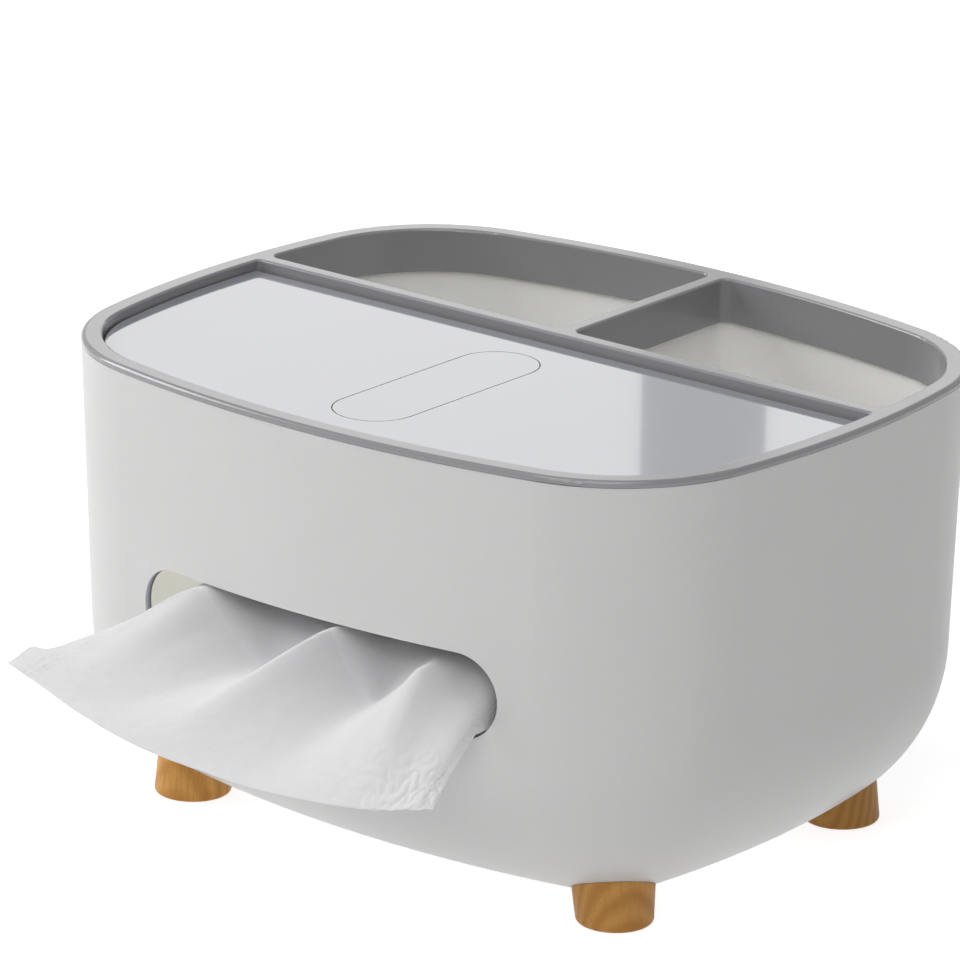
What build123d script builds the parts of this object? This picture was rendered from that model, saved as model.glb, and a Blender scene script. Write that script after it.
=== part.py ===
from build123d import *
import math
import os

# Tissue box organizer. A white tub stands on four splayed wooden feet. A grey frame closes its top:
# a hinged lid covers the tissue bay in front, and a tray with two cells hangs behind a crossbar.
# A pill-shaped phone rest lies flush in the lid, and tissues leave through a slot in the front wall.
# Millimetres and degrees. Origin on the table, midway between the feet: +X right, -Y front, +Z up.

# Tub
tub_width = 240.0
tub_depth = 197.6
front_radius = 358.0
side_radius = 301.0
corner_radius = 51.0
overall_height = 141.0
belly_clearance = 5.0
belly_cut = 3.0
bottom_round_share = 1.1
draft_angle = 1.9
tub_wall = 2.5
floor_thickness = 3.0
slot_length = 130.0
slot_height = 25.8
slot_centre_height = 71.5

# Top frame
rim_width = 6.2
rim_band = 2.1
skirt_depth = 13.5
skirt_wall = 1.2
plug_wall = 2.0
bar_front = 15.3
bar_width = 5.0
divider_width = 5.0
cell_corner = 3.0
frame_edge_round = 0.8
rim_edge_round = 1.3
rim_seam_round = 0.4
fit_gap = 0.15

# Storage tray
tray_clearance = 20.3
tray_wall = 1.5
tray_floor = 1.8
tray_draft = 1.9

# Lid and its hinge pins
lid_recess = 3.0
lid_thickness = 3.0
lid_gap = 0.4
lid_rear_gap = 0.7
lid_corner = 1.0
lid_edge_round = 0.5
ledge_width = 3.5
ledge_thickness = 2.0
hinge_relief = 4.0
lid_pin_radius = 0.9
lid_pin_length = 11.2
lid_pin_grip = 8.5
pin_run_gap = 0.05

# Phone rest in the lid
rest_length = 78.6
rest_width = 24.6
rest_gap = 0.35
rest_floor_gap = 0.2
rest_pin_radius = 0.8
rest_pin_inset = 14.0
rest_pin_grip = 4.0
rest_tip_gap = 0.6
pan_floor = 1.2
pan_wall = 1.5

# Wooden feet and their screws
foot_inset_x = 40.7
foot_inset_y = 45.0
foot_radius = 11.1
foot_taper = 4.8
foot_splay = 10.5
foot_length = 30.0
foot_edge_round = 1.2
foot_seat_gap = 0.1
boss_radius = 6.0
boss_rise = 3.0
screw_radius = 1.75
screw_head_radius = 3.6
screw_head_height = 2.2
screw_hole_gap = 0.2
screw_tip_cover = 2.5
washer_radius = 4.6
washer_thickness = 0.8

# Tissues
stack_side_gap = 30.0
stack_depth = 100.0
stack_rear = 40.0
stack_gap = 0.4
sheet_thickness = 0.8
sheet_inner_end = -25.0
sheet_lip_gap = 2.0
sheet_reach = 36.0

# The pulled sheet's folds, from its left edge to its right edge: crests and valleys lie between the
# ends and the turning points. Across, as shares of half the slot's length, and up from the slot's
# middle, as shares of half its height, first in the slot and then at the front edge.
slot_fold_shares = [
    (-0.92, -0.12), (-0.65, 0.74), (-0.42, 0.08), (-0.20, -0.42), (0.00, 0.12), (0.18, 0.78),
    (0.36, 0.16), (0.47, -0.20), (0.58, 0.12), (0.73, 0.50), (0.95, -0.16),
]
edge_fold_shares = [
    (-1.32, -1.07), (-1.08, -1.30), (-0.84, -1.50), (-0.59, -1.70), (-0.35, -1.83), (-0.11, -1.90),
    (0.13, -1.95), (0.37, -1.90), (0.62, -1.82), (0.86, -1.67), (1.10, -1.46),
]

# Cuts run past the faces that they open by this much, cut corners are found to this tolerance, and
# the round under the tub is lofted in this many steps.
overrun = 10.0
touch_tolerance = 0.001
round_steps = 7

# Worked out from the sizes above
half_width = tub_width / 2
half_depth = tub_depth / 2
bottom_radius = corner_radius * bottom_round_share
bottom_centre = belly_clearance + bottom_radius - belly_cut
draft_slope = math.tan(math.radians(draft_angle))
draft_stretch = 1 / math.cos(math.radians(draft_angle))
round_inset = (overall_height - bottom_centre) * draft_slope + bottom_radius * draft_stretch
rim_base = overall_height - rim_band
skirt_base = overall_height - skirt_depth
bar_rear = bar_front + bar_width
lid_top = overall_height - lid_recess
lid_base = lid_top - lid_thickness
lid_rear = bar_front - lid_rear_gap
lid_front = rim_width + lid_gap - half_depth
lid_axis_y = lid_rear - lid_thickness / 2
lid_axis_z = lid_top - lid_thickness / 2
rest_middle = (lid_front + lid_rear) / 2
rest_thickness = lid_thickness
rest_axis_y = rest_middle - rest_length / 2 + rest_pin_inset
rest_axis_z = lid_top - rest_thickness / 2
pan_base = lid_top - rest_thickness - rest_floor_gap
well_base = rest_axis_z - math.hypot(rest_pin_inset, rest_thickness / 2) - rest_tip_gap
well_back = rest_axis_y + rest_thickness / 2 + rest_gap
tray_lean = (rim_base - skirt_base) * math.tan(math.radians(tray_draft))
tray_grow = skirt_wall + fit_gap + tray_lean
bar_front_wall = bar_width - tray_grow - tray_wall - fit_gap
foot_offset_x = half_width - foot_inset_x
foot_offset_y = half_depth - foot_inset_y
stack_width = tub_width - 2 * stack_side_gap


def tangent_corner():
    """Centre of the front right corner arc, and the ways from it to the front arc and the side arc."""
    front_centre = Vector(0, front_radius - half_depth)
    side_centre = Vector(half_width - side_radius, 0)
    front_reach = front_radius - corner_radius
    side_reach = side_radius - corner_radius
    between = side_centre - front_centre
    along = (between.length ** 2 + front_reach ** 2 - side_reach ** 2) / (2 * between.length)
    across = math.sqrt(front_reach ** 2 - along ** 2)
    forward = between.normalized()
    sideways = Vector(-forward.Y, forward.X)
    centre = front_centre + forward * along + sideways * across
    return centre, (centre - front_centre).normalized(), (centre - side_centre).normalized()


corner_centre, to_front, to_side = tangent_corner()


def plan(inset):
    """The tub's plan at height zero, drawn in by an inset: eight arcs that meet smoothly."""
    radius = corner_radius - inset
    front = corner_centre + to_front * radius
    side = corner_centre + to_side * radius
    middle = corner_centre + (to_front + to_side).normalized() * radius
    tip_x = half_width - inset
    tip_y = half_depth - inset
    stations = [
        (-front.X, front.Y), (0, -tip_y), (front.X, front.Y), (middle.X, middle.Y),
        (side.X, side.Y), (tip_x, 0), (side.X, -side.Y), (middle.X, -middle.Y),
        (front.X, -front.Y), (0, tip_y), (-front.X, -front.Y), (-middle.X, -middle.Y),
        (-side.X, -side.Y), (-tip_x, 0), (-side.X, side.Y), (-middle.X, middle.Y),
    ]
    stations.append(stations[0])
    arcs = [ThreePointArc(*stations[i:i + 3]) for i in range(0, len(stations) - 1, 2)]
    return Face(Wire(arcs))


def clipped_plan(inset, left, right, front, back, round_radius):
    """The plan drawn in by an inset and clipped to a rectangle, with the clipped corners rounded."""
    window = Pos((left + right) / 2, (front + back) / 2) * Rectangle(right - left, back - front)
    region = (Sketch() + plan(inset)) & window
    clipped = [
        corner for corner in region.vertices()
        if min(abs(corner.X - left), abs(corner.X - right),
               abs(corner.Y - front), abs(corner.Y - back)) < touch_tolerance
    ]
    return fillet(clipped, round_radius)


def front_region(inset, back, round_radius):
    """The plan in front of a straight line across it."""
    return clipped_plan(inset, -tub_width, tub_width, -tub_depth, back, round_radius)


def rear_region(grow):
    """Both cells and the divider between them, grown all round."""
    return clipped_plan(
        rim_width - grow, -tub_width, tub_width, bar_rear - grow, tub_depth, cell_corner + grow
    )


def cell(side, grow):
    """One cell of the storage tray as the frame opens over it, grown all round."""
    near = side * (divider_width / 2 - grow)
    far = side * tub_width
    return clipped_plan(
        rim_width - grow, min(near, far), max(near, far), bar_rear - grow, tub_depth, cell_corner + grow
    )


def raised(region, base, top):
    """A region stood up as a straight block between two heights."""
    return extrude(Pos(0, 0, base) * region, top - base)


def wall_inset(height, wall):
    """How far the tub's wall, thinned by a wall, lies inside the plan at a height."""
    radius = bottom_radius - wall
    drop = bottom_centre - height
    if drop > radius * math.sin(math.radians(draft_angle)):
        return round_inset - math.sqrt(radius ** 2 - drop ** 2)
    return (overall_height - height) * draft_slope + wall * draft_stretch


def tub_form(wall, base, top):
    """The tub's outer form, or with a wall its hollow: a rounded foot below drafted sides."""
    radius = bottom_radius - wall
    steepest = math.degrees(math.asin((bottom_centre - base) / radius))
    step_angle = (draft_angle - steepest) / round_steps
    angles = [math.radians(steepest + step_angle * step) for step in range(round_steps + 1)]
    heights = [bottom_centre - radius * math.sin(angle) for angle in angles]
    sections = [Pos(0, 0, height) * plan(wall_inset(height, wall)) for height in heights]
    brim = Pos(0, 0, top) * plan(wall_inset(top, wall))
    return loft(sections) + loft([sections[-1], brim], ruled=True)


def underside_height(x, y):
    """Height of the tub's rounded underside over a point below one of its corners."""
    inset = corner_radius - math.hypot(abs(x) - abs(corner_centre.X), abs(y) - abs(corner_centre.Y))
    return bottom_centre - math.sqrt(bottom_radius ** 2 - (round_inset - inset) ** 2)


def foot_plane(x_sign, y_sign):
    """Plane on the table under one foot, its axis leaning in towards the middle of the tub."""
    x = x_sign * foot_offset_x
    y = y_sign * foot_offset_y
    spread = math.hypot(x, y)
    lean = math.sin(math.radians(foot_splay))
    rise = math.cos(math.radians(foot_splay))
    return Plane(origin=(x, y, 0), z_dir=(-x / spread * lean, -y / spread * lean, rise))


foot_signs = {"front_left": (-1, -1), "front_right": (1, -1), "rear_left": (-1, 1), "rear_right": (1, 1)}
foot_planes = {name: foot_plane(*signs) for name, signs in foot_signs.items()}
boss_top = underside_height(foot_offset_x, foot_offset_y) + tub_wall + boss_rise
screw_head_base = boss_top + washer_thickness
stack_base = screw_head_base + screw_head_height + stack_gap
fold_floor = slot_centre_height + min(up for across, up in slot_fold_shares) * slot_height / 2
stack_top = fold_floor - sheet_thickness - stack_gap
bin_base = stack_top + tray_clearance + tray_floor


def rod(radius, base, top):
    """A round bar on the Z axis between two heights."""
    return Pos(0, 0, base) * Cylinder(radius, top - base, align=(Align.CENTER, Align.CENTER, Align.MIN))


def cross_rod(radius, left, right, y, z):
    """A round bar along X."""
    return Pos(left, y, z) * Rot(0, 90, 0) * rod(radius, 0, right - left)


def make_body_shell():
    """The tub: hollow, with the tissue slot in its front wall and a screw boss over each foot."""
    outside = tub_form(0, belly_clearance, rim_base)
    hollow = tub_form(tub_wall, belly_clearance + floor_thickness, rim_base)
    shell = outside - hollow
    for plane in foot_planes.values():
        shell += (plane * rod(boss_radius, 0, boss_top)) & outside
    for plane in foot_planes.values():
        shell -= plane * rod(screw_radius + screw_hole_gap, -overrun, boss_top + overrun)
    before_front = (0, -half_depth - overrun, slot_centre_height)
    slot_plane = Plane(origin=before_front, x_dir=(1, 0, 0), z_dir=(0, 1, 0))
    shell -= extrude(slot_plane * SlotOverall(slot_length, slot_height), half_depth)
    return shell


def top_edges(frame, on_outline):
    """The frame's edges at full height: those on the tub's outline, or those round its openings."""
    outline = (Pos(0, 0, overall_height) * plan(0)).outer_wire()
    level = frame.edges().filter_by_position(
        Axis.Z, overall_height - touch_tolerance, overall_height + touch_tolerance
    )
    return [edge for edge in level if (outline.distance_to(edge) < touch_tolerance) == on_outline]


def make_top_frame():
    """The grey frame: rim, crossbar and divider, with a plug, a lid ledge and skirts below."""
    plug_inset = wall_inset(skirt_base, tub_wall) + fit_gap
    bar_wall_back = bar_front + bar_front_wall
    rim = raised(plan(0), rim_base, overall_height)
    frame = fillet(rim.edges().group_by(Axis.Z)[0], rim_seam_round)
    frame += raised(front_region(plug_inset, bar_wall_back, cell_corner), skirt_base, rim_base)
    for side in (-1, 1):
        frame += raised(cell(side, skirt_wall), skirt_base, rim_base)
    pocket = front_region(rim_width, bar_front, lid_corner)
    frame -= raised(pocket, lid_base, overall_height + overrun)
    opening = front_region(rim_width + ledge_width, lid_axis_y - hinge_relief, cell_corner)
    frame -= raised(opening, skirt_base - overrun, overall_height)
    undercut = front_region(plug_inset + plug_wall, bar_front, cell_corner)
    frame -= raised(undercut, skirt_base - overrun, lid_base - ledge_thickness)
    relief = clipped_plan(
        rim_width, -tub_width, tub_width, lid_axis_y - hinge_relief, bar_front, lid_corner
    )
    frame -= raised(relief, skirt_base - overrun, overall_height)
    for side in (-1, 1):
        frame -= raised(cell(side, 0), skirt_base - overrun, overall_height + overrun)
    frame = fillet(top_edges(frame, on_outline=False), frame_edge_round)
    frame = fillet(top_edges(frame, on_outline=True), rim_edge_round)
    for pin in lid_pins(pin_run_gap).values():
        frame -= pin
    return frame


def lid_side(y):
    """Half the lid's width at a distance behind the front of the tub's middle line."""
    side_reach = side_radius - rim_width - lid_gap
    return half_width - side_radius + math.sqrt(side_reach ** 2 - y ** 2)


def lid_pins(grow):
    """The two hinge pins, half in the lid's edge and half in the frame, thickened by a gap."""
    inner = lid_side(lid_axis_y) - lid_pin_grip
    outer = inner + lid_pin_length + grow
    return {
        "left": cross_rod(lid_pin_radius + grow, -outer, -inner, lid_axis_y, lid_axis_z),
        "right": cross_rod(lid_pin_radius + grow, inner, outer, lid_axis_y, lid_axis_z),
    }


def pill(grow):
    """The phone rest's outline on the lid, grown all round."""
    outline = SlotOverall(rest_length + 2 * grow, rest_width + 2 * grow, rotation=90)
    return Pos(0, rest_middle) * outline


def well(grow):
    """The front part of that outline, where the rest's short end swings down, grown all round."""
    window = Pos(0, well_back + grow - half_depth) * Rectangle(tub_width, tub_depth)
    return pill(rest_gap + grow) & window


def rear_edge_cut():
    """What is cut away to round the lid's rear edge about its hinge axis."""
    radius = lid_thickness / 2
    depth = radius + overrun
    strip = Pos(0, lid_axis_y + depth / 2, lid_axis_z) * Box(tub_width, depth, lid_thickness)
    return strip - cross_rod(radius, -half_width - overrun, half_width + overrun, lid_axis_y, lid_axis_z)


def make_front_lid():
    """The lid: a plate with a round rear edge, and below it a pan that holds the phone rest."""
    plate = front_region(rim_width + lid_gap, lid_rear, lid_corner)
    lid = raised(plate, lid_base, lid_top)
    top_edges = lid.edges().filter_by_position(Axis.Z, lid_top - touch_tolerance, lid_top + touch_tolerance)
    lid = fillet(top_edges, lid_edge_round)
    lid -= rear_edge_cut()
    lid += raised(pill(rest_gap + pan_wall), pan_base - pan_floor, lid_base)
    lid += raised(well(pan_wall), well_base - pan_floor, lid_base)
    lid -= raised(pill(rest_gap), pan_base, lid_top + overrun)
    lid -= raised(well(0), well_base, lid_top)
    for pin in lid_pins(0).values():
        lid -= pin
    return lid - rest_pin(0)


def rest_pin(grow):
    """The pin that the phone rest turns on, thickened by a gap."""
    reach = rest_width / 2 + rest_gap + rest_pin_grip
    return cross_rod(rest_pin_radius + grow, -reach, reach, rest_axis_y, rest_axis_z)


def make_phone_rest():
    """The pill-shaped flap: pressing its short front end swings its long end up."""
    return raised(pill(0), lid_top - rest_thickness, lid_top) - rest_pin(pin_run_gap)


def make_storage_tray():
    """The tray behind the crossbar: two tapered cells whose walls sleeve over the frame's skirts."""
    down = (0, 0, -1)
    depth = rim_base - bin_base
    outer = Pos(0, 0, rim_base) * rear_region(tray_grow + tray_wall)
    tray = extrude(outer, depth + tray_floor, dir=down, taper=tray_draft)
    for side in (-1, 1):
        inner = Pos(0, 0, rim_base) * cell(side, tray_grow)
        tray -= extrude(inner, depth, dir=down, taper=tray_draft)
    return tray


def make_foot(plane):
    """A turned foot, cut flat where it stands and hollowed to the tub's underside on top."""
    slope = math.tan(math.radians(foot_taper))
    blank = Cone(
        foot_radius - overrun * slope, foot_radius + foot_length * slope, foot_length + overrun,
        align=(Align.CENTER, Align.CENTER, Align.MIN),
    )
    foot = plane * Pos(0, 0, -overrun) * blank
    below = Pos(plane.origin.X, plane.origin.Y, -overrun) * Box(tub_width, tub_depth, 2 * overrun)
    foot -= below
    base_edges = foot.edges().filter_by_position(Axis.Z, -touch_tolerance, touch_tolerance)
    foot = fillet(base_edges, foot_edge_round)
    foot -= tub_form(-foot_seat_gap, belly_clearance - foot_seat_gap, rim_base)
    return foot - plane * rod(screw_radius, screw_tip_cover, foot_length)


def make_screw(plane):
    """A pan-head screw from inside the tub, through the boss into the foot."""
    shank = rod(screw_radius, screw_tip_cover, screw_head_base)
    head = rod(screw_head_radius, screw_head_base, screw_head_base + screw_head_height)
    return plane * (shank + head)


def make_washer(plane):
    """A washer between a screw head and its boss."""
    disc = rod(washer_radius, boss_top, screw_head_base)
    hole = rod(screw_radius + screw_hole_gap, boss_top - overrun, screw_head_base + overrun)
    return plane * (disc - hole)


def make_tissue_stack():
    """The pack of folded tissues, its lower edges bedded into the tub's rounded hollow."""
    middle = Pos(0, stack_rear - stack_depth / 2, (stack_base + stack_top) / 2)
    pack = middle * Box(stack_width, stack_depth, stack_top - stack_base)
    return pack & tub_form(tub_wall + stack_gap, belly_clearance + floor_thickness, rim_base)


def fold_section(shares, y):
    """The pulled sheet's section across its folds, as a thin closed band at a distance Y."""
    top = [
        Vector(across * slot_length / 2, y, slot_centre_height + up * slot_height / 2)
        for across, up in shares
    ]
    bottom = [point - Vector(0, 0, sheet_thickness) for point in top]
    arcs = [ThreePointArc(*top[i:i + 3]) for i in range(0, len(top) - 1, 2)]
    arcs.append(Line(top[-1], bottom[-1]))
    arcs += [ThreePointArc(*bottom[i - 2:i + 1][::-1]) for i in range(len(bottom) - 1, 0, -2)]
    arcs.append(Line(bottom[0], top[0]))
    return Face(Wire(arcs))


def make_tissue_sheet():
    """The sheet pulled through the slot: even folds inside, spreading and sinking to its front edge."""
    lip = -half_depth - sheet_lip_gap
    inside = fold_section(slot_fold_shares, sheet_inner_end)
    outside = fold_section(slot_fold_shares, lip)
    front_edge = fold_section(edge_fold_shares, -half_depth - sheet_reach)
    return loft([inside, outside, front_edge], ruled=True)


def write(node, shape):
    """Writes one piece to its own file."""
    export_step(shape, "parts/" + node + ".step")


os.makedirs("parts", exist_ok=True)
write("body_shell", make_body_shell())
write("top_frame", make_top_frame())
write("storage_tray", make_storage_tray())
write("front_lid", make_front_lid())
for place, pin in lid_pins(0).items():
    write("lid_hinge_pin_" + place, pin)
write("phone_rest", make_phone_rest())
write("phone_rest_pin", rest_pin(0))
for place, plane in foot_planes.items():
    write("foot_" + place, make_foot(plane))
write("foot_screws", Compound([make_screw(plane) for plane in foot_planes.values()]))
write("foot_washers", Compound([make_washer(plane) for plane in foot_planes.values()]))
write("tissue_stack", make_tissue_stack())
write("tissue_sheet", make_tissue_sheet())
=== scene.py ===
import math

import bmesh
import bpy
from mathutils import Matrix, Vector, noise


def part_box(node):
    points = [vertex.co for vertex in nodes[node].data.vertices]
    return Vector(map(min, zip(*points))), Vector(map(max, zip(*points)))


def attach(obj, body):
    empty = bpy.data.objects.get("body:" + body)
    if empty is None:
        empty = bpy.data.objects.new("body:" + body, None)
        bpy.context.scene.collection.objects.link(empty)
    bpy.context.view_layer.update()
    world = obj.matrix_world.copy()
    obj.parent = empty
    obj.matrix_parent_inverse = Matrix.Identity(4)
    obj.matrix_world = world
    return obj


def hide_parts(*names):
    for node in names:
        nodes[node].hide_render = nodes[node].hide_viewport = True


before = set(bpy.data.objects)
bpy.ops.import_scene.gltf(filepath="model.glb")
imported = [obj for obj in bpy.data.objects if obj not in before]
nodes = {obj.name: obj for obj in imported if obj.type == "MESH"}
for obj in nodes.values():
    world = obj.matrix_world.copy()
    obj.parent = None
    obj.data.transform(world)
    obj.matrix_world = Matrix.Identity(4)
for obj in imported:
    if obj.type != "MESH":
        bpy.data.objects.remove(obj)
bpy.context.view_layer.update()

# Metres and degrees in the part's frame: +X right, -Y front, +Z up, the table at Z = 0.

# The photograph's view
view_azimuth = 38.88
view_elevation = 18.31
view_roll = 0.76
view_distance = 2.2115
view_aim = Vector((-0.03215, 0.02115, 0.08785))
view_lens = 281.25
view_sensor = 36.0
view_reach = 50.0

# Three soft lamps: the point that they look at, and the place, size and power in watts of each
light_aim = (0.0, 0.0, 0.07)
key_place = (-1.50, -0.62, 0.85)
key_size = 0.9
key_power = 14.0
top_place = (0.2, -0.75, 1.5)
top_size = 1.3
top_power = 9.5
fill_place = (0.9, -1.3, 1.1)
fill_size = 0.8
fill_power = 3.6

# Two tall windows behind the tub, which the lid mirrors: how far back along the view they stand, their
# places across the view, widths and brightness, and the height and middle of both
window_distance = 2.0
window_places = (-0.11, 0.27)
window_widths = (0.38, 0.24)
window_brightness = (0.74, 0.75)
window_height = 1.1
window_middle = 0.85

# The white surround's strength as light on the object, in mirrors and to the camera
world_light = 0.18
world_mirrored = 0.66
world_seen = 1.0

# The floor: half its side, its colour, and its own glow to the camera and as light on the object
floor_half = 12.0
floor_color = (0.62, 0.62, 0.62)
floor_glow = 0.80
floor_bounce = 0.28

# The tissue slot in the tub's curved front
front_radius = 0.358
slot_half_length = 0.065
slot_half_height = 0.0129
slot_height = 0.0715
lip_gap = 0.0008

# The pulled sheet: its cut size, grid and thickness, and the share of its length that is behind the lip
sheet_flat = (0.18, 0.12)
sheet_columns = 220
sheet_rows = 150
sheet_thickness = 0.00022
sheet_lip_share = 0.58
sheet_bed_gap = 0.0014
sheet_bow = 0.0085

# The sheet's arch behind the lip: how high and how far in it stands, where it starts at the sheet's left
# edge, and the stretches over which it rises at the left and falls at the right
sheet_arch_share = 0.72
sheet_arch_place_share = 0.24
arch_start_share = 0.08
arch_left_share = 0.06
arch_right_share = 0.14

# How the sheet falls from the slot to its front edge: steeper at the lip towards its left edge
fall_left_power = 0.8
fall_gain = 0.35
fall_blend_share = 0.3

# A small curl at the front left corner
curl_height = 0.0026
curl_place_share = 0.84
curl_length_share = 0.09
curl_width_share = 0.09

# The sheet's folds from its left edge to its right edge, across as shares of half the slot's length
# and up from the slot's middle as shares of half its height: in the slot, and along the front edge.
slot_fold_shares = [
    (-0.93, -0.02), (-0.60, 0.91), (-0.42, 0.28), (-0.21, -0.46), (0.03, -0.02), (0.17, 0.91),
    (0.27, 0.24), (0.40, -0.52), (0.56, 0.04), (0.67, 0.58), (0.79, 0.08), (0.92, -0.20), (0.93, -0.70),
]
edge_fold_shares = [
    (-1.32, -1.07), (-1.08, -1.29), (-0.92, -1.43), (-0.76, -1.56), (-0.58, -1.71), (-0.36, -1.83),
    (-0.08, -1.90), (0.22, -1.93), (0.55, -1.84), (0.76, -1.74), (0.90, -1.64), (1.01, -1.55), (1.10, -1.46),
]

# The sheet's crinkles: waves per metre across and along it with a slice of the noise, and their depths.
# Creases run aslant, so their two directions each mix both.
swell_waves = (40, 28, 3.1)
swell_depth = 0.0004
pleat_waves = (210, 75, 7.7)
pleat_depth = 0.00012
fine_waves = (420, 300, 5.9)
fine_depth = 0.00016
crease_across_waves = (150, 90)
crease_along_waves = (-80, 170)
crease_slice = 1.3
crease_depth = 0.0006
crease_sharpness = 5

# Where the crinkles set in, and the creases by the front edge and more to the right, as shares of the sheet
crinkle_rise_share = 0.12
crease_front_share = 0.70
crease_front_rise_share = 0.25
crease_right_share = 0.62
crease_right_rise_share = 0.3
crease_left_level_share = 0.3

sheet_low, sheet_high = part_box("tissue_sheet")
tub_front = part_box("body_shell")[0].y
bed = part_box("tissue_stack")[1].z + sheet_bed_gap

# The pack of tissues: its layers, corners, rounded foot and top, and how far its layers lie out of line
stack_layers = 22
stack_corner = 0.009
stack_corner_segments = 6
stack_foot_round = 0.012
stack_foot_layers = 9
stack_top_round = 0.018
stack_round_layers = 8
stack_slip = 0.0006
slip_step = 1.7
slip_rows = (0.3, 4.1)
slip_slice = 0.5
layer_fill_share = 0.98
layer_round_share = 0.42
layer_round_segments = 3

# Each foot's place, the turn of its grain in degrees, and how pale its wood is: partly the wood's own tone,
# partly painted light and shade, paler on the lit front left and darker on the shaded right and rear
feet = (
    ("front_left", 20, 1.12),
    ("front_right", 75, 0.86),
    ("rear_left", 130, 0.95),
    ("rear_right", 200, 0.72),
)

# What most of a noise pattern keeps to, and a whole range
noise_range = (0.3, 0.7)
full_range = (0.0, 1.0)


def set_sockets(node, values):
    """Plain values on a node's own sockets, by the sockets' names."""
    for socket, value in values.items():
        node.inputs[socket].default_value = value


def principled(name, color, roughness):
    """A new material with its plain values on the shader's own sockets: the material, tree and shader."""
    material = bpy.data.materials.new(name)
    material.use_nodes = True
    tree = material.node_tree
    shader = tree.nodes["Principled BSDF"]
    set_sockets(shader, {"Base Color": (*color, 1.0), "Roughness": roughness})
    return material, tree, shader


def object_coordinates(tree, location=(0, 0, 0), rotation=(0, 0, 0), scale=(1, 1, 1)):
    """The piece's own coordinates, moved, turned and stretched."""
    coordinates = tree.nodes.new("ShaderNodeTexCoord")
    mapping = tree.nodes.new("ShaderNodeMapping")
    set_sockets(mapping, {"Location": location, "Rotation": rotation, "Scale": scale})
    tree.links.new(coordinates.outputs["Object"], mapping.inputs["Vector"])
    return mapping.outputs["Vector"]


def noise_field(tree, vector, scale, detail=2.0, roughness=0.5):
    """A noise pattern's strength over the surface."""
    texture = tree.nodes.new("ShaderNodeTexNoise")
    set_sockets(texture, {"Scale": scale, "Detail": detail, "Roughness": roughness})
    tree.links.new(vector, texture.inputs["Vector"])
    return texture.outputs["Fac"]


def remap(tree, value, old_range, new_range):
    """A value stretched from one range to another."""
    node = tree.nodes.new("ShaderNodeMapRange")
    set_sockets(node, {"From Min": old_range[0], "From Max": old_range[1]})
    set_sockets(node, {"To Min": new_range[0], "To Max": new_range[1]})
    tree.links.new(value, node.inputs["Value"])
    return node.outputs["Result"]


def combine(tree, operation, first, second):
    """Two values joined by one step of arithmetic. The second is a number or another node's socket."""
    node = tree.nodes.new("ShaderNodeMath")
    node.operation = operation
    tree.links.new(first, node.inputs[0])
    if isinstance(second, (int, float)):
        node.inputs[1].default_value = second
    else:
        tree.links.new(second, node.inputs[1])
    return node.outputs["Value"]


def color_mix(tree, factor, first, second):
    """Two colours mixed by a pattern. A colour is a tuple or another node's socket."""
    node = tree.nodes.new("ShaderNodeMix")
    node.data_type = "RGBA"
    tree.links.new(factor, node.inputs["Factor"])
    slots = [s for s in node.inputs if s.type == "RGBA"]
    for socket, color in zip(slots, (first, second)):
        if isinstance(color, tuple):
            socket.default_value = (*color, 1.0)
        else:
            tree.links.new(color, socket)
    return [s for s in node.outputs if s.type == "RGBA"][0]


def bump(tree, shader, height, depth, under=None):
    """Relief of a depth in metres, over the relief below it."""
    node = tree.nodes.new("ShaderNodeBump")
    node.inputs["Distance"].default_value = depth
    tree.links.new(height, node.inputs["Height"])
    if under is not None:
        tree.links.new(under, node.inputs["Normal"])
    tree.links.new(node.outputs["Normal"], shader.inputs["Normal"])
    return node.outputs["Normal"]


def cloudy_tint(tree, shader, cloud, color, shade):
    """A base colour that drifts between two close tints with a noise pattern."""
    tint = color_mix(tree, remap(tree, cloud, noise_range, full_range), color, shade)
    tree.links.new(tint, shader.inputs["Base Color"])


def uneven_gloss(tree, shader, pattern, pattern_range, roughness_range):
    """Roughness that follows a noise pattern."""
    tree.links.new(remap(tree, pattern, pattern_range, roughness_range), shader.inputs["Roughness"])


def moulded_plastic(name, color, shade, roughness, grain_depth):
    """Moulded plastic: a trace of cloudy tint, uneven gloss and a fine moulded grain."""
    cloud_scale = 28.0
    patch_scale = 90.0
    grain_scale = 2200.0
    glossier = 0.015
    duller = 0.02
    material, tree, shader = principled(name, color, roughness)
    vector = object_coordinates(tree)
    cloudy_tint(tree, shader, noise_field(tree, vector, cloud_scale, detail=3.0), color, shade)
    patches = noise_field(tree, vector, patch_scale, detail=4.0)
    uneven_gloss(tree, shader, patches, noise_range, (roughness - glossier, roughness + duller))
    bump(tree, shader, noise_field(tree, vector, grain_scale), grain_depth)
    return material, shader


def inner_side(tree):
    """One on faces that look in at the upright axis through the origin, zero on faces that look out."""
    coordinates = tree.nodes.new("ShaderNodeTexCoord")
    level = tree.nodes.new("ShaderNodeVectorMath")
    level.operation = "MULTIPLY"
    level.inputs[1].default_value = (1.0, 1.0, 0.0)
    tree.links.new(coordinates.outputs["Object"], level.inputs[0])
    facing = tree.nodes.new("ShaderNodeVectorMath")
    facing.operation = "DOT_PRODUCT"
    tree.links.new(coordinates.outputs["Normal"], facing.inputs[0])
    tree.links.new(level.outputs["Vector"], facing.inputs[1])
    return combine(tree, "LESS_THAN", facing.outputs["Value"], 0.0)


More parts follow.
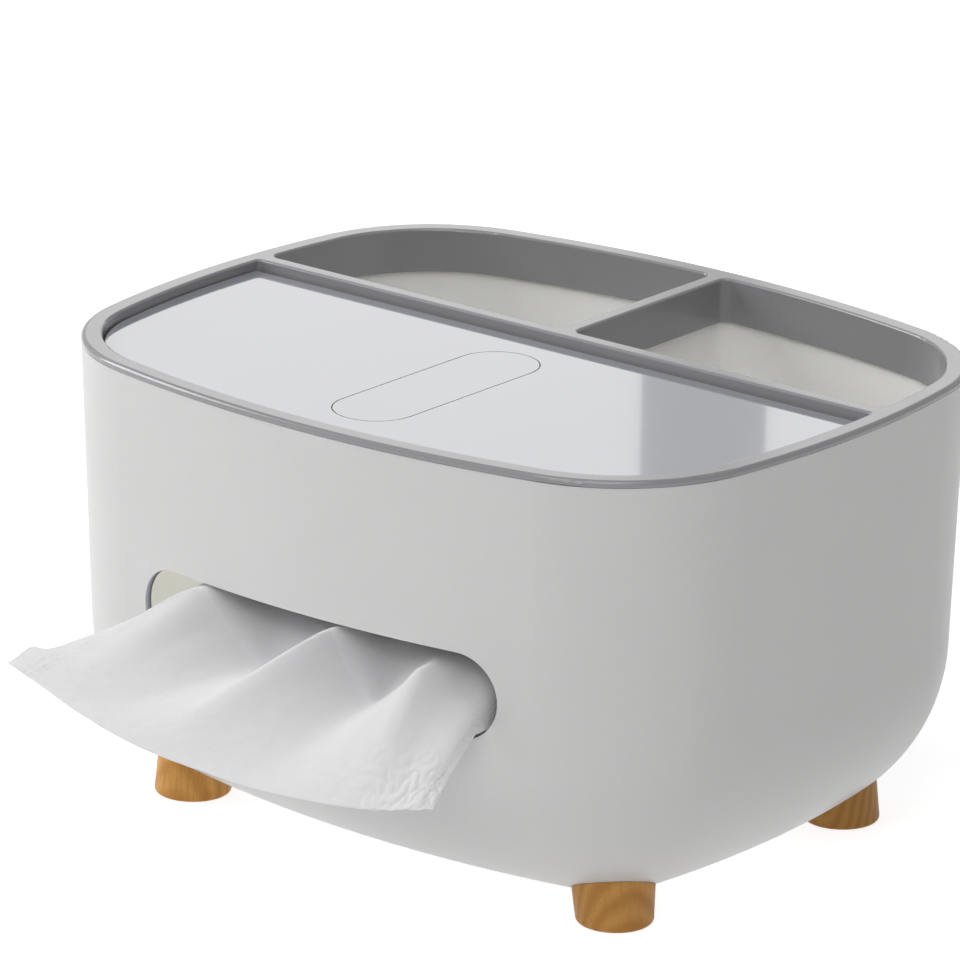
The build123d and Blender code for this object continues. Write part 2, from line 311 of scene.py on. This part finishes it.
def tub_plastic():
    """The tub's white plastic, thin enough for light to come through its walls and glow inside."""
    color = (0.745, 0.742, 0.736)
    shade = (0.732, 0.729, 0.724)
    # Each value on the outer faces, then on the inner faces
    glow = {"Subsurface Weight": (0.2, 1.0), "Subsurface Scale": (0.003, 0.05)}
    material, shader = moulded_plastic("tub_white", color, shade, roughness=0.36, grain_depth=0.00003)
    tree = material.node_tree
    inside = inner_side(tree)
    for socket, ends in glow.items():
        tree.links.new(remap(tree, inside, full_range, ends), shader.inputs[socket])
    set_sockets(shader, {"Subsurface Radius": (1.0, 0.97, 0.7)})
    return material


def frame_plastic():
    """The frame's grey plastic, polished."""
    color = (0.285, 0.282, 0.295)
    shade = (0.275, 0.272, 0.285)
    material, shader = moulded_plastic("frame_grey", color, shade, roughness=0.32, grain_depth=0.00001)
    set_sockets(shader, {"Coat Weight": 0.8, "Coat Roughness": 0.12})
    return material


def tray_plastic():
    """The tray's ivory plastic."""
    color = (0.95, 0.945, 0.915)
    shade = (0.935, 0.93, 0.90)
    material, shader = moulded_plastic("tray_ivory", color, shade, roughness=0.38, grain_depth=0.00003)
    set_sockets(shader, {
        "Subsurface Weight": 0.15,
        "Subsurface Radius": (1.0, 0.97, 0.85),
        "Subsurface Scale": 0.001,
    })
    return material


def gloss_lid_plastic():
    """The lid's mirror-smooth plastic, with a faint moulding ripple and hairline wear."""
    color = (0.37, 0.38, 0.43)
    shade = (0.355, 0.365, 0.415)
    cloud_scale = 16.0
    hair_stretch = (40.0, 900.0, 900.0)
    hair_scale = 3.0
    hair_range = (0.45, 0.75)
    smooth, worn = 0.06, 0.12
    ripple_scale = 22.0
    ripple_depth = 0.00003
    material, tree, shader = principled("lid_gloss", color, smooth)
    set_sockets(shader, {"Coat Weight": 1.0, "Coat Roughness": 0.03, "Coat IOR": 1.7})
    vector = object_coordinates(tree)
    cloudy_tint(tree, shader, noise_field(tree, vector, cloud_scale), color, shade)
    hairs = noise_field(tree, object_coordinates(tree, scale=hair_stretch), hair_scale, detail=6.0)
    uneven_gloss(tree, shader, hairs, hair_range, (smooth, worn))
    bump(tree, shader, noise_field(tree, vector, ripple_scale, detail=1.0), ripple_depth)
    return material


def turned_beech(name, foot, turn, tone_and_painted_light):
    """Beech: growth rings about a pith beside the foot, fine fibres along it and short dark flecks."""
    color = (0.62, 0.30, 0.085)
    pale_wood = (0.74, 0.38, 0.095)
    ring_wood = (0.58, 0.265, 0.055)
    fibre_wood = (0.48, 0.205, 0.042)
    fleck_wood = (0.30, 0.12, 0.035)
    grain_lean = 16
    pith_offset = Vector((0.004, 0.021, 0))
    fibre_stretch = (1.0, 1.0, 0.08)
    fibre_scale = 1500.0
    fibre_range = (0.35, 0.7)
    fibre_strength = (0.0, 0.4)
    fibre_depth = 0.00004
    fleck_stretch = (1.0, 1.0, 0.22)
    fleck_scale = 2400.0
    fleck_range = (0.68, 0.74)
    fleck_strength = (0.0, 0.5)
    roughness_range = (0.40, 0.56)
    low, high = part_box(foot)
    middle = (low + high) / 2
    material, tree, shader = principled(name, color, roughness=0.45)
    set_sockets(shader, {"Specular IOR Level": 0.3})
    lean = Matrix.Rotation(math.radians(turn), 3, "Z") @ Matrix.Rotation(math.radians(grain_lean), 3, "X")
    pith = lean @ pith_offset
    mapped = object_coordinates(
        tree, location=lean.transposed() @ -(middle + pith), rotation=lean.transposed().to_euler()
    )
    rings = tree.nodes.new("ShaderNodeTexWave")
    rings.wave_type = "RINGS"
    rings.rings_direction = "Z"
    rings.wave_profile = "SIN"
    set_sockets(rings, {"Scale": 105.0, "Distortion": 1.6, "Detail": 3.0, "Detail Scale": 1.3})
    tree.links.new(mapped, rings.inputs["Vector"])
    # The foot's tone scales its wood colours: partly the wood's own tone, partly painted light and shade
    pale, ring = (tuple(tone_and_painted_light * part for part in wood) for wood in (pale_wood, ring_wood))
    wood = color_mix(tree, rings.outputs["Fac"], pale, ring)
    fibres = noise_field(tree, object_coordinates(tree, scale=fibre_stretch), fibre_scale, detail=4.0)
    wood = color_mix(tree, remap(tree, fibres, fibre_range, fibre_strength), wood, fibre_wood)
    flecks = noise_field(tree, object_coordinates(tree, scale=fleck_stretch), fleck_scale, detail=1.0)
    wood = color_mix(tree, remap(tree, flecks, fleck_range, fleck_strength), wood, fleck_wood)
    tree.links.new(wood, shader.inputs["Base Color"])
    uneven_gloss(tree, shader, fibres, noise_range, roughness_range)
    bump(tree, shader, fibres, fibre_depth)
    return material


def brushed_steel():
    """Zinc-bright steel with fine drawn lines."""
    color = (0.62, 0.62, 0.63)
    line_stretch = (0.05, 1.0, 1.0)
    line_scale = 2600.0
    line_depth = 0.00002
    polished, brushed = 0.30, 0.44
    material, tree, shader = principled("steel", color, polished)
    set_sockets(shader, {"Metallic": 1.0})
    lines = noise_field(tree, object_coordinates(tree, scale=line_stretch), line_scale, detail=3.0)
    uneven_gloss(tree, shader, lines, noise_range, (polished, brushed))
    bump(tree, shader, lines, line_depth)
    return material


def tissue_paper(name):
    """Soft two-ply tissue: cloudy fibres, a creped grain and a faint show of light through it."""
    color = (0.90, 0.90, 0.92)
    shade = (0.875, 0.875, 0.90)
    cloud_scale = 160.0
    crepe_scale = 900.0
    crepe_depth = 0.00010
    material, tree, shader = principled(name, color, roughness=0.95)
    set_sockets(shader, {
        "Specular IOR Level": 0.15,
        "Sheen Weight": 0.1,
        "Sheen Roughness": 0.6,
        "Subsurface Weight": 0.7,
        "Subsurface Radius": (1.0, 1.0, 1.0),
        "Subsurface Scale": 0.003,
    })
    vector = object_coordinates(tree)
    cloud = noise_field(tree, vector, cloud_scale, detail=5.0, roughness=0.6)
    cloudy_tint(tree, shader, cloud, color, shade)
    crepe = noise_field(tree, vector, crepe_scale, detail=5.0, roughness=0.65)
    relief = bump(tree, shader, crepe, crepe_depth)
    return material, tree, shader, relief


def emboss_edges(tree, shader, relief):
    """A narrow band of small pressed dots down each side of the sheet, on its flat map."""
    pitch = 0.0022
    dot_shares = (0.18, 0.36)
    band_shares = (0.045, 0.955)
    band_half_share = 0.0135
    band_fade_share = 1.1
    press_depth = 0.0002
    flat_map = tree.nodes.new("ShaderNodeTexCoord").outputs["UV"]
    spread = tree.nodes.new("ShaderNodeMapping")
    set_sockets(spread, {"Scale": (sheet_flat[0] / pitch, sheet_flat[1] / pitch, 1.0)})
    tree.links.new(flat_map, spread.inputs["Vector"])
    dots = tree.nodes.new("ShaderNodeTexVoronoi")
    dots.voronoi_dimensions = "2D"
    set_sockets(dots, {"Scale": 1.0, "Randomness": 0.0})
    tree.links.new(spread.outputs["Vector"], dots.inputs["Vector"])
    pressed = remap(tree, dots.outputs["Distance"], dot_shares, (1.0, 0.0))
    parts = tree.nodes.new("ShaderNodeSeparateXYZ")
    tree.links.new(flat_map, parts.inputs["Vector"])
    bands = None
    for share in band_shares:
        away = combine(tree, "ABSOLUTE", combine(tree, "SUBTRACT", parts.outputs["X"], share), 0.0)
        band = remap(tree, away, (band_half_share, band_half_share * band_fade_share), (1.0, 0.0))
        bands = band if bands is None else combine(tree, "ADD", bands, band)
    bump(tree, shader, combine(tree, "MULTIPLY", pressed, bands), press_depth, relief)


def dress(node, material):
    """Gives a carried-over piece its material."""
    slots = nodes[node].data.materials
    slots.clear()
    slots.append(material)


def new_object(name, mesh, smooth):
    """A finished mesh as an object of the scene, shaded smooth or flat."""
    data = bpy.data.meshes.new(name)
    mesh.to_mesh(data)
    mesh.free()
    for polygon in data.polygons:
        polygon.use_smooth = smooth
    made = bpy.data.objects.new(name, data)
    bpy.context.scene.collection.objects.link(made)
    return made


def smooth_step(value):
    """Zero to one, easing in and out."""
    value = min(max(value, 0.0), 1.0)
    return value * value * (3 - 2 * value)


def along_folds(shares, place):
    """A point on a smooth line through fold points: place runs from 0 at the left to 1 at the right."""
    spot = place * (len(shares) - 1)
    index = min(int(spot), len(shares) - 2)
    step = spot - index
    ends = [shares[min(max(index + i, 0), len(shares) - 1)] for i in (-1, 0, 1, 2)]
    weights = (
        (-step + 2 * step ** 2 - step ** 3) / 2,
        (2 - 5 * step ** 2 + 3 * step ** 3) / 2,
        (step + 4 * step ** 2 - 3 * step ** 3) / 2,
        (-step ** 2 + step ** 3) / 2,
    )
    across = sum(w * p[0] for w, p in zip(weights, ends))
    up = sum(w * p[1] for w, p in zip(weights, ends))
    return across * slot_half_length, slot_height + up * slot_half_height


def sheet_point(across, along):
    """Where a point of the flat sheet lies: across and along it run from 0 to 1, the front edge at 1."""
    slot_x, slot_z = along_folds(slot_fold_shares, across)
    lip = tub_front + front_radius - math.sqrt(front_radius ** 2 - slot_x ** 2) - lip_gap
    if along < sheet_lip_share:
        inward = 1 - along / sheet_lip_share
        arch = slot_height + sheet_arch_share * slot_half_height
        left = smooth_step((across - arch_start_share) / arch_left_share)
        right = smooth_step((1 - across) / arch_right_share)
        z = slot_z + (arch - slot_z) * left * right * smooth_step(inward / sheet_arch_place_share)
        settle = smooth_step((inward - sheet_arch_place_share) / (1 - sheet_arch_place_share))
        return Vector((slot_x, lip + (sheet_high.y - lip) * inward, z + (bed - z) * settle))
    outward = (along - sheet_lip_share) / (1 - sheet_lip_share)
    edge_x, edge_z = along_folds(edge_fold_shares, across)
    edge_y = sheet_low.y + sheet_bow * (2 * across - 1) ** 2
    drop = outward ** (fall_left_power + fall_gain * smooth_step(across / fall_blend_share))
    corner = max(0.0, 1 - across / curl_width_share)
    curl = curl_height * math.exp(-((outward - curl_place_share) / curl_length_share) ** 2) * corner
    return Vector((
        slot_x + (edge_x - slot_x) * outward,
        lip + (edge_y - lip) * outward,
        slot_z + (edge_z - slot_z) * drop + curl,
    ))


def sheet_noise(waves, wide, long):
    """Noise at a place on the flat sheet, in metres across and along it."""
    return noise.noise(Vector((wide * waves[0], long * waves[1], waves[2])))


def crinkle(across, along):
    """How far a point outside the slot is pushed off its folds: by swells, and by creases at the front."""
    wide, long = across * sheet_flat[0], along * sheet_flat[1]
    free = smooth_step((along - sheet_lip_share) / crinkle_rise_share)
    front = smooth_step((along - crease_front_share) / crease_front_rise_share)
    right = smooth_step((across - crease_right_share) / crease_right_rise_share)
    slanted = Vector((
        wide * crease_across_waves[0] + long * crease_across_waves[1],
        wide * crease_along_waves[0] + long * crease_along_waves[1],
        crease_slice,
    ))
    crease = (1 - abs(noise.noise(slanted))) ** crease_sharpness
    swells = swell_depth * sheet_noise(swell_waves, wide, long)
    pleats = pleat_depth * sheet_noise(pleat_waves, wide, long)
    creases = crease_depth * crease + fine_depth * sheet_noise(fine_waves, wide, long)
    return free * (swells + pleats + (crease_left_level_share + right) * front * creases)


def make_tissue_sheet():
    """The pulled tissue: one thin sheet, folded in the slot and fanned out to its front edge."""
    half = 0.5
    mesh = bmesh.new()
    mesh.loops.layers.uv.new("flat")
    bmesh.ops.create_grid(mesh, x_segments=sheet_columns, y_segments=sheet_rows, size=half, calc_uvs=True)
    flat = {vertex: (vertex.co.x + half, vertex.co.y + half) for vertex in mesh.verts}
    for vertex, place in flat.items():
        vertex.co = sheet_point(*place)
    mesh.normal_update()
    for vertex, place in flat.items():
        vertex.co += vertex.normal * crinkle(*place)
    sheet = new_object("tissue_sheet_soft", mesh, smooth=True)
    skin = sheet.modifiers.new("thickness", "SOLIDIFY")
    skin.thickness = sheet_thickness
    skin.offset = 0.0
    material, tree, shader, relief = tissue_paper("tissue_sheet_paper")
    emboss_edges(tree, shader, relief)
    sheet.data.materials.append(material)
    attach(sheet, "tissue")
    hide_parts("tissue_sheet")


def edge_rise(edge):
    """How much higher one end of an edge is than the other."""
    return abs(edge.verts[0].co.z - edge.verts[1].co.z)


def between_top_and_side(edge):
    """Whether an edge lies between a level face and an upright one."""
    return len({round(face.normal.z) for face in edge.link_faces}) == 2


def round_edges(mesh, edges, radius, segments):
    """Rounds edges over and gives the new faces."""
    rounded = bmesh.ops.bevel(
        mesh, geom=edges, offset=radius, segments=segments, profile=0.5, affect="EDGES", material=-1
    )
    return rounded["faces"]


def edges_at(vertices):
    """The edges that meet at vertices, each once."""
    return list(dict.fromkeys(edge for vertex in vertices for edge in vertex.link_edges))


def make_tissue_stack():
    """The pack: folded sheets, one soft slab on the next, each a little out of line."""
    low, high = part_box("tissue_stack")
    mesh = bmesh.new()
    thickness = (high.z - low.z) / stack_layers
    for layer in range(stack_layers):
        rise = max(0.0, (layer + 1 - stack_layers) / stack_round_layers + 1)
        foot = stack_foot_round * max(0.0, 1 - layer / stack_foot_layers) ** 2
        draw_in = foot + stack_top_round * (1 - math.sqrt(1 - rise ** 2))
        slip = [stack_slip * noise.noise(Vector((layer * slip_step, row, slip_slice))) for row in slip_rows]
        wide = high.x - low.x - 2 * draw_in
        deep = high.y - low.y - 2 * draw_in
        size = Vector((wide, deep, thickness * layer_fill_share))
        centre = (low + high) / 2 + Vector((slip[0], slip[1], 0))
        centre.z = low.z + layer * thickness + thickness / 2
        made = bmesh.ops.create_cube(mesh, size=1.0, matrix=Matrix.LocRotScale(centre, None, size))
        upright = [edge for edge in edges_at(made["verts"]) if edge_rise(edge) > thickness / 2]
        corners = round_edges(mesh, upright, stack_corner + draw_in, stack_corner_segments)
        near = edges_at(vertex for face in corners for vertex in face.verts)
        rims = [edge for edge in near if edge_rise(edge) < thickness / 2 and between_top_and_side(edge)]
        round_edges(mesh, rims, thickness * layer_round_share, layer_round_segments)
    stack = new_object("tissue_stack_soft", mesh, smooth=True)
    stack.data.materials.append(tissue_paper("tissue_stack_paper")[0])
    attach(stack, "base")
    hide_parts("tissue_stack")


def make_camera():
    """The photograph's camera: the view turned about the aim point, with its small roll."""
    azimuth, elevation = math.radians(view_azimuth), math.radians(view_elevation)
    roll = Matrix.Rotation(math.radians(view_roll), 3, "Z")
    turn = Matrix.Rotation(azimuth, 3, "Z") @ Matrix.Rotation(math.pi / 2 - elevation, 3, "X") @ roll
    data = bpy.data.cameras.new("camera")
    data.lens = view_lens
    data.sensor_width = view_sensor
    data.clip_end = view_reach
    camera = bpy.data.objects.new("camera", data)
    camera.matrix_world = Matrix.LocRotScale(
        view_aim + turn @ Vector((0, 0, view_distance)), turn.to_quaternion(), None
    )
    bpy.context.scene.collection.objects.link(camera)
    bpy.context.scene.camera = camera


def add_softbox(name, place, aim, size, power):
    """A soft light of a width and height that looks at a point."""
    data = bpy.data.lights.new(name, "AREA")
    data.shape = "RECTANGLE"
    data.size, data.size_y = size
    data.energy = power
    light = bpy.data.objects.new(name, data)
    light.location = place
    light.rotation_euler = (Vector(aim) - Vector(place)).to_track_quat("-Z", "Y").to_euler()
    bpy.context.scene.collection.objects.link(light)


def add_windows():
    """The tall windows that the lid and the rim mirror."""
    turn = Matrix.Rotation(math.radians(view_azimuth), 3, "Z")
    for place, width, brightness in zip(window_places, window_widths, window_brightness):
        spot = turn @ Vector((place, window_distance, window_middle))
        power = brightness * math.pi * width * window_height
        add_softbox("window", spot, (0.0, 0.0, window_middle), (width, window_height), power)


def rays_of(tree, *kinds):
    """One for light paths of any of these kinds, zero for the rest."""
    path = tree.nodes.new("ShaderNodeLightPath").outputs
    found = path[kinds[0]]
    for kind in kinds[1:]:
        found = combine(tree, "MAXIMUM", found, path[kind])
    return found


def make_floor():
    """A wide floor, white to the camera and in mirrors, that keeps the object's shadow."""
    mesh = bmesh.new()
    bmesh.ops.create_grid(mesh, x_segments=1, y_segments=1, size=floor_half)
    floor = new_object("floor", mesh, smooth=False)
    material, tree, shader = principled("floor_white", floor_color, roughness=0.9)
    set_sockets(shader, {"Specular IOR Level": 0.0, "Emission Color": (1.0, 1.0, 1.0, 1.0)})
    seen = rays_of(tree, "Is Camera Ray", "Is Glossy Ray", "Is Transmission Ray")
    glow = remap(tree, seen, full_range, (floor_bounce, floor_glow))
    tree.links.new(glow, shader.inputs["Emission Strength"])
    floor.data.materials.append(material)


def make_surround():
    """A surround that is white to the camera, a little darker in mirrors, and a dim light on the object."""
    world = bpy.data.worlds.new("surround")
    bpy.context.scene.world = world
    world.use_nodes = True
    tree = world.node_tree
    background = tree.nodes["Background"]
    set_sockets(background, {"Color": (1.0, 1.0, 1.0, 1.0)})
    mirrored = remap(tree, rays_of(tree, "Is Glossy Ray"), full_range, (world_light, world_mirrored))
    through = rays_of(tree, "Is Camera Ray", "Is Transmission Ray")
    seen = remap(tree, through, full_range, (0.0, world_seen))
    tree.links.new(combine(tree, "MAXIMUM", mirrored, seen), background.inputs["Strength"])


def make_studio():
    """The floor, the surround, three soft lamps and the windows."""
    make_floor()
    make_surround()
    add_softbox("key_left", key_place, light_aim, (key_size, key_size), key_power)
    add_softbox("top", top_place, light_aim, (top_size, top_size), top_power)
    add_softbox("fill_right", fill_place, light_aim, (fill_size, fill_size), fill_power)
    add_windows()


lid_plastic = gloss_lid_plastic()
steel = brushed_steel()
dress("body_shell", tub_plastic())
dress("top_frame", frame_plastic())
dress("storage_tray", tray_plastic())
for node in ("front_lid", "phone_rest"):
    dress(node, lid_plastic)
for node in ("lid_hinge_pin_left", "lid_hinge_pin_right", "phone_rest_pin", "foot_screws", "foot_washers"):
    dress(node, steel)
for place, turn, tone_and_painted_light in feet:
    dress("foot_" + place, turned_beech("beech_" + place, "foot_" + place, turn, tone_and_painted_light))

make_tissue_sheet()
make_tissue_stack()
make_studio()
make_camera()
bpy.context.scene.view_settings.view_transform = "Standard"
